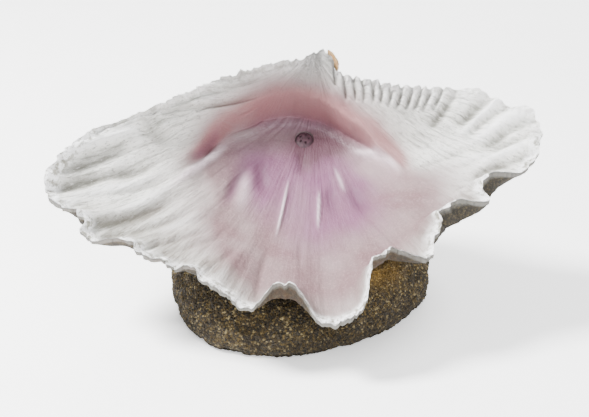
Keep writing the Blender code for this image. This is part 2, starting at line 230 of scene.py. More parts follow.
def wrappedBody(name, sections, attributes={}):
    # sections[i][j] in mm is the body's grid; it closes on itself both ways
    around, along = sections.shape[:2]
    mesh = bmesh.new()
    bmesh.ops.create_grid(mesh, x_segments=around, y_segments=along, size=0.5)
    layers = []
    for key, values in attributes.items():
        kinds = mesh.verts.layers.float_vector if values.ndim == 3 else mesh.verts.layers.float
        layers.append((kinds.new(key), values))
    for vert in mesh.verts:
        i = round((vert.co.x + 0.5) * around) % around
        j = round((vert.co.y + 0.5) * along) % along
        vert.co = sections[i, j] * mm
        for layer, values in layers:
            vert[layer] = values[i, j]
    bmesh.ops.remove_doubles(mesh, verts=mesh.verts, dist=1e-7)
    return finishedPiece(name, mesh)


# The shell is worked out on the plane of its rim: x is across, y towards the hinge, and heights are off that plane.
shell = {
    "rimCentre": (0, 0, 59.5), "tilt": radians(33), "bowlCentre": (0, 5), "outlet": (1.5, 28), "boreRadius": 3.6,
    "wingDepth": 22, "hollowDepth": 27, "rimThickness": 1.5, "floorThickness": 4.5, "beak": (5, 47),
    "lipOverhang": 0.3, "pocketReach": 1.4,
    "columns": 660, "floorRows": 32, "creaseRows": 22, "wingRows": 52, "roughRows": 40,
    "rim": (
        (14, -63.5, -2), (21, -60, -1), (31, -51, 0), (43, -41.5, 0), (50, -31, 0), (65, -21, 0), (73, -10, 0),
        (83, 0, 0), (87, 10.5, 2), (83, 19.5, 3), (75, 23, 1.5), (67, 28, 3), (57, 30.5, 1), (46.5, 32.5, 0),
        (36.5, 34, -1), (26, 37.5, -2), (14.5, 41.5, -3), (9, 47.5, 2), (2, 46, 0), (-11, 43.5, 0), (-25, 39, 0),
        (-41.5, 30.5, 0), (-59, 21.5, 0), (-72, 16, 0), (-83, 7, 0), (-88, 0, 0), (-90, -13, 0), (-85, -19.5, 0),
        (-78.5, -27, 0), (-73, -32.5, -1), (-62, -35, 0), (-49, -41, 0), (-40, -45.5, 0), (-29, -52, 0),
        (-18, -58.5, -2), (-3, -62, -1),
    ),
    # bearing, half width, depth, lift, share of the depth that the rough side follows
    "notches": (
        (-95, 7.5, 9, 4, 0.6), (-59, 10, 9.5, 4, 0.85), (-26.5, 6.5, 8.5, 4.2, 0.15), (-13, 4.5, 6.5, 3.6, 0),
        (-37, 4, 2.5, 1.2, 0), (-160, 3, 3.2, 1.8, 0), (-148, 3.5, 2.6, 1.8, 0), (-127, 3, 2, 1.5, 0),
    ),
    "folds": (
        (-78, 9, 2.6), (-44, 8, 2.2), (-19, 4, 1.4), (-4, 5, 1.6), (-109, 9, 2.4), (-137, 8, 2.0),
        (-154, 3.5, 1.4), (-168, 5, 1.8), (178, 5, 1.6), (168, 3.5, 1.2),
    ),
    # bearing and half width of the rusty stains on the edge, and of those on the raw face under the notches
    "edgeStains": ((-160, 3), (-148, 3.5), (-127, 4), (176, 2.2), (-137, 2.5)), "stainsUnder": ((-95, 9), (-59, 11)),
    # bearing, reach, half width of the step, floor depth
    "crease": (
        (-90, 30, 14, 20), (-30, 33, 14, 19.5), (-8, 36, 9, 19.5), (8, 35.5, 3, 21), (28, 31, 1.3, 25),
        (53, 29.5, 1.2, 27), (80, 32, 1.2, 28), (97, 33.5, 1.2, 28), (120, 33.5, 1.2, 26), (145, 35, 1.3, 23),
        (160, 37.5, 1.8, 21.5), (178, 41, 5, 20.5), (200, 40, 11, 20), (240, 34, 14, 20), (270, 30, 14, 20),
    ),
    # carved by hand from the inside out to the edge: width, height, the line
    "wingCarving": (
        (0.7, -1.4, ((-12.0, 41.0), (-34.9, 31.4), (-54.1, 22.7), (-65.4, 18.7), (-74, 14))),
        (0.6, -1.1, ((-12.0, 38.3), (-22.9, 34.0), (-31.4, 30.1), (-42.0, 26.3), (-50, 23))),
        (0.5, -1.0, ((-16, 41), (-37.2, 33.6), (-50.9, 26.5), (-60.8, 21.6), (-70, 17.5))),
        (0.5, -0.8, ((-2, 43.4), (-18.9, 38.6), (-29.8, 34.4), (-40, 30))),
        (0.5, -0.9, ((3, 41.3), (-6.7, 39.9), (-19.4, 35.3), (-29.2, 31.0), (-38, 26.5))),
        (1.1, 0.8, ((-12, 40.2), (-34.7, 32.5), (-54.0, 24), (-68.1, 18.6))),
        (2.6, -1.9, ((-55, 15), (-62.9, 11.4), (-71.8, 5.7), (-84, -2))),
        (1.6, -0.8, ((-50, 13), (-54.9, 11.4), (-65.5, 5.4), (-80, -2.5))),
        (2.4, -2.0, ((-48, 9), (-55.7, 5.1), (-70.8, -1.2), (-90, -11.5))),
        (1.2, -0.7, ((-62, 14), (-69.1, 10.5), (-79.3, 4.7), (-88, 0.5))),
        (2.6, -2.3, ((-40, -1), (-46.6, -5.4), (-56.5, -15.2), (-67.3, -21.9), (-80, -27))),
        (1.3, -0.9, ((-32, -4), (-36.8, -8.9), (-46.9, -16.6), (-56.8, -22.6), (-70, -30))),
        (1.0, -0.8, ((-28, -15), (-33.8, -19.6), (-42.5, -26.0), (-54, -35))),
        (1.0, -0.7, ((-24, -18), (-30.2, -23.2), (-38.9, -29.5), (-50, -38))),
        (1.2, -0.7, ((-42, 6), (-47.5, 2.8), (-61.6, -5.6), (-74.5, -10.4), (-88, -15))),
        (1.0, -0.7, ((-18, -22), (-22.8, -28.9), (-30.6, -38.3), (-40, -47))),
        (1.3, -0.8, ((-10, -20), (-11.6, -26.1), (-14.3, -40.0), (-16, -58))),
        (1.1, -0.6, ((20, -4), (23.8, -8.9), (29.7, -21.2), (38, -36))),
        (1.1, -0.6, ((26, -24), (32, -34), (36, -42))),
        (2.0, 1.2, ((-51.3, 22), (-58.6, 17.5), (-75.3, 9.8), (-87, 2.2))),
        (2.6, 1.3, ((-48.0, 15.9), (-64.7, 6.6), (-89, -6.5))),
        (2.8, 1.3, ((-44.2, 11.5), (-60.9, -2.6), (-77.1, -11.6), (-87, -18))),
        (2.6, 1.3, ((-40.1, 9.2), (-49.8, -3.1), (-62.1, -14.3), (-80, -25.5))),
        (2.4, 0.9, ((-28, -3), (-40, -14), (-52, -25), (-64, -34))),
        (2.4, 0.8, ((-16, -20), (-24, -36), (-30, -50))),
        (1.5, -1.9, ((46, 19.5), (50.7, 23.8), (53.9, 26.8), (58, 31))),
        (1.9, -2.4, ((56, 19), (61.3, 22.1), (65.5, 24), (71.5, 27))),
        (1.5, -2.0, ((58, 15), (65.0, 19.2), (71.1, 21.7), (79, 23))),
        (1.6, -1.9, ((62, 9), (70.3, 12.4), (76.6, 15.4), (87, 16.2))),
        (1.4, -1.4, ((63, 6.5), (70.9, 8.7), (77.0, 10.9), (88, 11.5))),
        (1.5, -1.7, ((58, -2), (65.0, 0.5), (69.0, 2.6), (84, 3.4))),
        (1.2, -1.3, ((54, -6), (62, -6.5), (69.7, -5), (77, -4))),
        (1.0, -0.6, ((36, 5), (40.4, 6.4), (51.3, 9.4), (64, 12))),
        (0.9, -0.6, ((44, -12), (54.5, -11.2), (65.0, -12.3), (72, -14))),
        (2.2, 2.0, ((56, 15.5), (62.0, 19.3), (67.0, 22.1), (73, 25))),
        (2.0, 1.6, ((60, 12.5), (69.8, 16.5), (76.0, 19), (85, 20.2))),
        (2.0, 1.2, ((58, 2), (66.5, 4.8), (71.9, 6.6), (84, 7.4))),
        (1.8, 1.0, ((54, -9.5), (62.6, -8.6), (70.6, -8.4), (76, -8.6))),
        (1.6, 0.9, ((50, 5), (60, 7.5), (72, 8), (84, 9.3))),
    ),
    # gaps between the teeth that run down from the hinge line, from the inner end to the edge
    "toothGaps": (
        ((13.3, 38.4), (12.6, 43.5)), ((17.6, 33.3), (15.6, 42)), ((21.0, 32.1), (19.2, 41)),
        ((23.8, 31.0), (23.1, 40)), ((27.1, 29.8), (26.7, 39)), ((29.4, 28.7), (30.6, 38)),
        ((32.2, 28.0), (34.6, 37)), ((35.2, 27.2), (38.4, 36)), ((38.3, 26.6), (42.2, 35)),
        ((41.1, 25.8), (46, 34.8)), ((44.2, 25.6), (49.4, 34.4)), ((47.9, 25.3), (54, 34)),
    ),
    # carved in the bowl, fading at both ends
    "bowlCarving": (
        (2.6, -1.3, ((-45.2, 17.4), (-52.4, 16.7), (-56.3, 17.7), (-55.6, 19.7), (-49, 23))),
        (1.5, -1.3, ((-27.8, 26), (-34.9, 17.3), (-42.0, 10.2))),
        (1.5, -1.3, ((22, 28), (33, 18.4), (38.8, 10.5), (40, 1))),
        (2.2, -1.5, ((-18.0, 18.5), (-25.1, 3.6), (-28.5, -6.2))),
        (2.4, -1.4, ((-16.6, 21), (-13, 0))),
        (2.4, -1.1, ((0.2, 24), (1.1, 9))),
        (2.2, -1.2, ((17, 8), (24.5, -10.3))),
        (1.8, -1.0, ((10.7, 6.8), (12.1, -9.5))),
        (1.3, -0.7, ((0, -16), (-0.2, -38))),
        (1.2, 1.1, ((-25.5, 25.4), (-32.7, 15.9), (-41.0, 7.2), (-47, -1))),
        (2.8, 0.5, ((-20.8, 13.5), (-20.2, 3.5), (-22.6, -7.0))),
        (0.9, 1.1, ((-4.0, 11), (-7.3, -8.7), (-9.4, -20))),
        (0.9, 1.1, ((7.1, 7.1), (6.1, -17))),
        (1.0, 0.4, ((13.8, 15.1), (17.2, 2))),
        (1.5, 1.1, ((17.0, 22.6), (27.3, 18.9), (33.2, 12.8), (37.5, 5.6))),
        (2.0, 0.8, ((24, -2), (36, -5), (48, -6))),
    ),
    # airbrushed colour: middle x and y, reach across and along, turn in degrees, strength
    "blush": (
        (0, 0, 39, 38, 0, 1.2), (6, -42, 25, 24, 0, 0.95), (30, -12, 27, 19, -12, 1.0), (-20, 16, 24, 15, 30, 0.45),
        (-33, 17, 8, 15, 30, 0.3), (47, 1, 13, 10, 0, 0.3),
        (16, 30, 32, 11, -20, 0.4), (0, 37, 28, 7, 0, 0.4), (-20, -20, 20, 18, 30, 0.55), (-16, -38, 8, 12, 20, 0.4),
    ),
    "lavender": (
        (-1, 13, 20, 11, 0, 1.0), (5, -5, 12, 20, 0, 1.1), (-17, 24, 12, 7, 20, 0.15), (17, 13, 13, 9, -20, 0.6),
        (20, -5, 10, 14, 25, 0.9), (-15, 5, 7, 14, 10, 0.8), (0, 35, 24, 6, 0, 0.4),
    ),
    "plum": (
        (7, 24, 10.5, 6.2, -8, 1.2), (-6, 25, 10, 5, 10, 0.25), (16, 23.5, 10, 4.5, -22, 0.4),
        (3.4, 19, 4.2, 7.5, 0, 0.75),
    ),
    "scar": (
        (27, 12.5, 12, 5.5, -38, 1.0), (-21, 3, 3.6, 9, -6, 0.45), (15, 8, 3, 7, 12, 0.25), (0, -2, 5, 13, 0, 0.3),
    ),
    # painted highlights along the raised ribs of the bowl: width, strength, the line
    "ribHighlights": (
        (2.0, 0.25, ((-21.5, 14.5), (-20.2, 3.5), (-23.0, -8.0))), (0.5, 0.7, ((-4.0, 11), (-7.3, -8.7), (-9.4, -20))),
        (0.5, 0.6, ((7.1, 6.1), (6.1, -16))), (0.6, 0.3, ((12.2, 16.1), (16.7, 1.8))),
        (1.2, 0.7, ((17.0, 23.3), (27, 18.5), (33.2, 12.8), (37.5, 5.6))),
        (1.1, 1.0, ((-25.3, 25.4), (-32.7, 15.7), (-41.0, 7.2), (-49, -3))),
    ),
    # painted shade along the carved grooves of the bowl: width, strength, the line
    "grooveShadeStreaks": (
        (2.2, 0.8, ((-18.0, 20.5), (-25.1, 3.6), (-29, -8))), (3.0, 0.9, ((-15.6, 22), (-12.5, -1))),
        (2.8, 0.8, ((0.2, 25), (1.1, 9))), (2.8, 0.75, ((17, 9), (24.5, -11))), (2.4, 0.6, ((10.5, 8), (12.1, -9.5))),
        (1.3, 0.6, ((-27.8, 27), (-35.4, 17.3), (-43.0, 9.2))),
    ),
    "roseStreaks": (
        (2.4, 0.85, ((-22, 33), (-29.5, 25.5), (-37, 16.5), (-46, 6))),
        (2.2, 0.8, ((14, 34), (24, 27.5), (33, 19), (39.2, 10.5), (41, 0))),
    ),
}
rimCurve = closedCurve(shell["rim"])
rimLengths = lengthsAlong(rimCurve)
rimBearings = np.degrees(np.unwrap(np.radians(bearings(rimCurve[:, 0], rimCurve[:, 1], shell["bowlCentre"]))))
creaseTable = np.array(shell["crease"], float)


def turned(apart):
    return (apart + 180) % 360 - 180


def fromRim(points):
    # from the rim's plane to the ornament's own place
    c, s = np.cos(shell["tilt"]), np.sin(shell["tilt"])
    x, y, z = points[..., 0], points[..., 1], points[..., 2]
    return np.stack([x, y * c - z * s, y * s + z * c], -1) + np.array(shell["rimCentre"]) + stand


def notchAt(angle):
    pull, lift, shared = np.zeros_like(angle), np.zeros_like(angle), np.zeros_like(angle)
    for centre, half, depth, rise, rough in shell["notches"]:
        share = np.exp(-((turned(angle - centre) / half) ** 4))
        pull, lift, shared = pull + depth * share, lift + rise * share, shared + depth * share * rough
    return pull, lift, shared


def foldAt(angle):
    return sum(d * hump(turned(angle - c), 0, h) for c, h, d in shell["folds"])


def creaseAt(angle):
    wrapped = (angle + 90) % 360 - 90
    i = np.clip(np.searchsorted(creaseTable[:, 0], wrapped, "right") - 1, 0, len(creaseTable) - 2)
    low, high = creaseTable[i], creaseTable[i + 1]
    t = np.clip((wrapped - low[..., 0]) / (high[..., 0] - low[..., 0]), 0, 1)[..., None]
    mixed = low[..., 1:] + (high[..., 1:] - low[..., 1:]) * t * t * (3 - 2 * t)
    return mixed[..., 0], mixed[..., 1], mixed[..., 2]


def flatSpot(rim, out):
    bowl, outlet = np.array(shell["bowlCentre"]), np.array(shell["outlet"])
    inwards = np.clip(1 - out, 0, 1)[..., None]
    spoke = rim[..., :2] - bowl
    return bowl + (outlet - bowl) * inwards**1.2 + unit(spoke) * shell["boreRadius"] * inwards + spoke * out[..., None]


def reachOf(spot):
    return np.hypot(spot[..., 0] - shell["bowlCentre"][0], spot[..., 1] - shell["bowlCentre"][1])


def crossing(rim, past):
    # the share of each spoke where it meets the step under the hinge
    low, high = np.zeros(len(rim)), np.ones(len(rim))
    for _ in range(22):
        middle = (low + high) / 2
        spot = flatSpot(rim, middle)
        turn, half, _ = creaseAt(bearings(spot[..., 0], spot[..., 1], shell["bowlCentre"]))
        inside = reachOf(spot) < turn + half * past
        low, high = np.where(inside, middle, low), np.where(inside, high, middle)
    return low


def measures(spot):
    angle = bearings(spot[..., 0], spot[..., 1], shell["bowlCentre"])
    rim = readCurve(rimCurve, rimBearings, rimBearings[0] + (angle - rimBearings[0]) % 360)
    away = reachOf(spot)
    share = away / reachOf(rim)
    turn, half, depth = creaseAt(angle)
    deep = shell["hollowDepth"]
    hollow = -deep + (deep - depth) * np.minimum(1.3, away / turn) ** 2
    wing = rim[..., 2] * share**2 - shell["wingDepth"] * (1 - share**2.2)
    past = (away - turn) / half
    # the wall leaves the hollow steeply and rolls over softly to the hinge plate
    beyond = np.clip(0.92 * (reachOf(rim) - turn) / half, 2, 7)
    step = 0.56 * ease(-1, 1, past) + 0.44 * np.clip((past + 1) / (beyond + 1), 0, 1) ** 0.8
    return angle, share, hollow, wing, past, half, away - turn, step


def outwards(spot):
    return unit(spot - np.array(shell["bowlCentre"]))


def fanFrom(spot, place):
    # growth fans out from the beak: the angle as mm at 60 mm out, and the distance
    x, y = spot[..., 0] - place[0], spot[..., 1] - place[1]
    return np.arctan2(x, -y) * 60, np.hypot(x, y)


def raggedEdge(angle, share):
    a = np.radians(angle)
    wave = lumps(np.cos(a) * 14, np.sin(a) * 14, 3.3) + 0.8 * lumps(np.cos(a) * 36, np.sin(a) * 36, 7.9)
    wave += 0.6 * lumps(np.cos(a) * 62, np.sin(a) * 62, 1.7)
    return ease(0.92, 1, share) * (1.3 * wave - 0.6)


def carve(spot):
    relief = np.zeros(spot.shape[:-1])
    for width, height, line in shell["wingCarving"]:
        relief += height * strokeShare(spot, line, width, False)
    for line in shell["toothGaps"]:
        relief -= 2.4 * strokeShare(spot, line, 0.65, False)
    for width, height, line in shell["bowlCarving"]:
        relief += height * strokeShare(spot, line, width, True)
    return relief


def nacreRelief(spot, angle, share, past):
    x, y = spot[..., 0], spot[..., 1]
    fan, far = fanFrom(spot, shell["beak"])
    teeth = between(angle, 2, 8, 64, 72)
    margin = ease(0.55, 0.95, share) * (1 - 0.8 * teeth)
    relief = carve(spot) + 0.9 * teeth * ease(0.8, 0.92, share)
    # fine growth ribs of a few sizes, stronger towards the edge
    relief += margin * lumps(fan / 3.6, far / 46, 4.0)
    relief += (0.2 + 0.8 * margin) * 0.5 * lumps(fan / 1.5, far / 26, 9.0)
    # slow unevenness of a hand-worked master
    relief += 0.5 * lumps(x / 12, y / 12, 4.6) * (1 - 0.6 * ease(-1.5, 0, past) * (1 - ease(0.5, 2, past)))
    relief += 0.16 * lumps(x / 2.6, y / 2.6, 1.2)
    return relief


def lipLumps(angle, share, away):
    # the edge is a thick bead of lacquered resin with melted-looking lumps
    a = np.radians(angle)
    front = 0.35 + 0.65 * (1 - ease(-12, 4, angle)) * (1 - ease(172, 184, angle % 360))
    bead = ease(0.945, 0.975, share)
    coarse, fine = lumps(np.cos(a) * 17, np.sin(a) * 17, away / 3.4), lumps(np.cos(a) * 40, np.sin(a) * 40, away / 1.6)
    return front * bead * (0.5 + 1.8 * coarse + 1.5 * fine)


def nacreSide(spot, wantRelief=False):
    angle, share, hollow, wing, past, half, away, step = measures(spot)
    pull, lift, _ = notchAt(angle)
    roll = ease(4, 2, half)
    step = step * roll + ease(-1, 1, past) * (1 - roll)
    height = hollow * (1 - step) + wing * step
    height += lift * share**6 - foldAt(angle) * share**3 * (1 - share**12 / 2)
    relief = nacreRelief(spot, angle, share, past)
    height += relief * (1 - 0.15 * ease(0.985, 1, share)) + lipLumps(angle, share, away)
    sharp = 1 - ease(1.5, 5, half)
    a = np.radians(angle)
    lip = shell["lipOverhang"] * hump(past, 1.2, 1) * (1 + 0.45 * lumps(np.cos(a) * 7, np.sin(a) * 7, 3.3))
    pocket = shell["pocketReach"] * hump(past, -1.2, 1)
    moved = (pocket - lip) * sharp - pull * ease(0.72, 1, share) + raggedEdge(angle, share)
    flat = spot + outwards(spot) * moved[..., None]
    points = np.concatenate([flat, height[..., None]], -1)
    return (points, relief) if wantRelief else points


def roughSide(spot):
    angle, share, hollow, wing, _, half, away, _ = measures(spot)
    pull, lift, shared = notchAt(angle)
    last = ease(0.95, 1, share)
    behind = np.maximum(0, np.sin(np.radians(angle)))
    thick = shell["rimThickness"] + (shell["floorThickness"] - shell["rimThickness"]) * (1 - share**3)
    wide = ease(0, 1, away / (2 * np.maximum(half, 9)))
    step = wide + (ease(0.76, 1, share) - wide) * behind
    height = hollow * (1 - step) + wing * step - thick + lift * last - foldAt(angle) * share**2
    # stepped growth plates, each lapping the one before, and broad ribs across them
    fan, far = fanFrom(spot, shell["beak"])
    plates = share * 17 + 1.1 * lumps(fan / 16, far / 60, 1.1)
    body = ease(0.25, 0.5, share)
    height -= body * 0.75 * (plates % 1) ** 1.6 * (1 - last)
    height -= body * (1 - last) * (0.9 * lumps(fan / 5.5, far / 90, 6.2) + 0.5 * lumps(fan / 2.1, far / 9, 2.2))
    height -= 0.3 * last * (1 + lumps(fan / 1.2, far / 1.2, 5.1))
    bulge = (1 + 6 * behind**2) * ease(0.45, 0.85, share) * (1 - np.minimum(1, share) ** 8)
    moved = bulge - shared * ease(0.6, 0.95, share) - (pull - shared) * last + raggedEdge(angle, share)
    flat = spot + outwards(spot) * moved[..., None]
    return np.concatenate([flat, height[..., None]], -1)


def overPoint(side, x, y):
    # the point of one side of the shell at this place in plan
    spot = np.stack([x, (y - shell["hollowDepth"] * np.sin(shell["tilt"])) / np.cos(shell["tilt"])], -1)
    for _ in range(30):
        point = fromRim(side(spot)) - stand
        spot = spot + np.stack([x - point[..., 0], y - point[..., 1]], -1) * 0.6
    return fromRim(side(spot))


def brushed(spot, dabs):
    total = np.zeros(spot.shape[:-1])
    for x, y, across, along, turn, strength in dabs:
        c, s = np.cos(radians(turn)), np.sin(radians(turn))
        dx, dy = spot[..., 0] - x, spot[..., 1] - y
        total += strength * np.exp(-((((dx * c + dy * s) / across) ** 2 + ((dy * c - dx * s) / along) ** 2) ** 1.15))
    return total


def streaked(spot, streaks):
    return sum(strength * strokeShare(spot, line, width, True) for width, strength, line in streaks)


def paintMasks(spot, relief, onNacre):
    angle, share, _, _, past, _, away, _ = measures(spot)
    x, y = spot[..., 0], spot[..., 1]
    fan, far = fanFrom(spot, shell["outlet"] + np.array((0, 9)))
    hair = lumps(fan / 3.2, far / 26, 2.0)
    inHollow = 1 - ease(-0.9, 0.3, past) * between(angle, 2, 12, 160, 176)
    wander = 1 + 0.22 * lumps(x / 9, y / 9, 7.7) + 0.18 * hair
    # painted highlights along the raised ribs and painted shade along the carved grooves of the bowl
    pale, dark = streaked(spot, shell["ribHighlights"]), streaked(spot, shell["grooveShadeStreaks"])
    footGlow = 0.12 * hump(away, -3, 2.4) * between(angle, 10, 40, 130, 165)
    lavender = (brushed(spot, shell["lavender"]) + footGlow) * wander * inHollow
    # the wall over the step is rose, deepest along the step itself, and pales softly towards the hinge
    window = between(angle, -4, 26, 122, 168)
    wall, rimGap = np.maximum(0, away), reachOf(spot) * (1 / np.maximum(share, 0.05) - 1)
    rose = ease(-1.2, 0.2, past) * window * (0.62 * hump(wall, 0, 3.2) + 0.42 * hump(wall, 0, 8.5))
    rose = (rose + 0.25 * hump(away, 0.2, 1.4) * window) * ease(1, 7.5, rimGap)
    rose = rose + streaked(spot, shell["roseStreaks"])
    # plum also takes a share of the painted shade in the bowl's grooves
    plum = brushed(spot, shell["plum"]) * inHollow * wander + 0.3 * dark
    plate = ease(1, 9, away) * between(angle, 0, 8, 160, 178)
    blush = brushed(spot, shell["blush"]) * (1 + 0.2 * lumps(x / 13, y / 13, 3.1)) * (1 - 0.85 * plate)
    atHinge = between(angle, 0, 8, 168, 178)
    bead = ease(0.925, 0.97, share) * (1 - 0.7 * atHinge)
    stain = ease(0.97, 0.995, share) * sum(hump(turned(angle - c), 0, w) for c, w in shell["edgeStains"])
    under = 0.75 * ease(0.62, 0.8, share) * (1 - onNacre)
    stain = stain + under * sum(hump(turned(angle - c), 0, w) for c, w in shell["stainsUnder"])
    # painted shade and highlight: where the carving and the lip lumps sink the surface it is painted darker, where they
    # rise it is painted whiter
    carved = relief + 0.6 * lipLumps(angle, share, away)
    # grey wash in front of the edge, and the raw face darker just under it
    front = between(angle, -176, -150, -30, 0)
    shade = between(share, 0.5, 0.82, 0.9, 0.955) * front * (0.75 + 0.5 * lumps(fan / 5, far / 14, 8.8))
    dirt = ease(0.8, 0.9, share) * (1 - between(angle, 2, 10, 165, 175))
    # painted shade: a darker mauve band along the foot of the wall, where it meets the floor
    foot = window * hump(past, -1.1, 0.55) + 0.5 * window * hump(past, -0.2, 0.8)
    fuzz = window * hump(away, -3.4, 0.9) * (0.5 + 0.9 * lumps(fan / 1.3, far / 1.3, 1.9))
    blushed = np.clip(blush, 0, 1)
    painted = {
        "blush": blush, "rose": rose * wander, "lavender": lavender, "plum": plum, "bead": bead, "dark": dark,
        "scar": brushed(spot, shell["scar"]) * wander, "pale": pale + 0.16 * fuzz, "shade": shade, "foot": foot,
        "groove": -carved / 1.7, "ridge": carved / 1.9 * (1 - 0.75 * blushed),
    }
    masks = {name: values * onNacre for name, values in painted.items()}
    masks["bare"] = (1 - 0.85 * blushed) * (0.4 + 0.6 * ease(6, 28, far))
    masks["stain"], masks["dirt"] = stain, dirt * (1 - onNacre)
    masks["weathered"] = (1 - onNacre) * (1 - 0.15 * ease(0.985, 1, share))
    return {name: np.clip(values, 0, 1) for name, values in masks.items()}


def makeShell():
    count = shell["columns"]
    rim = readCurve(rimCurve, rimLengths, np.arange(count) / count * rimLengths[-1])
    crease = [crossing(rim, past) for past in np.linspace(-1.9, 2.2, shell["creaseRows"])]
    floor = [crease[0] * k / shell["floorRows"] for k in range(1, shell["floorRows"])]
    wingSteps = 1 - (1 - np.arange(1, shell["wingRows"]) / shell["wingRows"]) ** 1.25  # closer together at the edge
    wing = [crease[-1] + (1 - crease[-1]) * k for k in wingSteps]
    nacreOuts = [*floor, *crease, *wing, np.ones(count)]
    roughOuts = [np.full(count, 1 - 0.9 * k) for k in np.linspace(0, 1, shell["roughRows"]) ** 1.35]
    spots = np.stack([flatSpot(rim, out) for out in nacreOuts], 1)
    nacre, relief = nacreSide(spots, True)
    roughSpots = np.stack([flatSpot(rim, out) for out in roughOuts], 1)
    axis = (fromRim(nacreSide(np.array([shell["outlet"]], float))) - stand)[0]
    around = np.radians(bearings(rim[:, 0], rim[:, 1], shell["bowlCentre"]))
    boreX, boreY = axis[0] + np.cos(around) * shell["boreRadius"], axis[1] + np.sin(around) * shell["boreRadius"]
    bore = [overPoint(side, boreX, boreY)[:, None] for side in (nacreSide, roughSide)]
    rough = roughSide(roughSpots)
    # the raw face starts a little way under the lip
    seam = nacre[:, -1:] * 0.72 + rough[:, :1] * 0.28
    sections = np.concatenate([bore[0], fromRim(nacre), fromRim(seam), fromRim(rough), bore[1]], 1)
    middle = flatSpot(rim, np.zeros(count))[:, None]
    spots = np.concatenate([middle, spots, roughSpots[:, :1], roughSpots, middle], 1)
    onNacre = np.zeros(spots.shape[:2])
    onNacre[:, :len(nacreOuts) + 1] = 1
    edge = np.zeros((count, 1))
    relief = np.concatenate([edge, relief, edge, np.zeros(roughSpots.shape[:2]), edge], 1)
    masks = paintMasks(spots, relief, onNacre)
    fan, far = fanFrom(spots, shell["beak"])
    masks["growth"] = np.stack([fan, far, onNacre * 30], -1)
    return wrappedBody("clamShell", sections, masks)


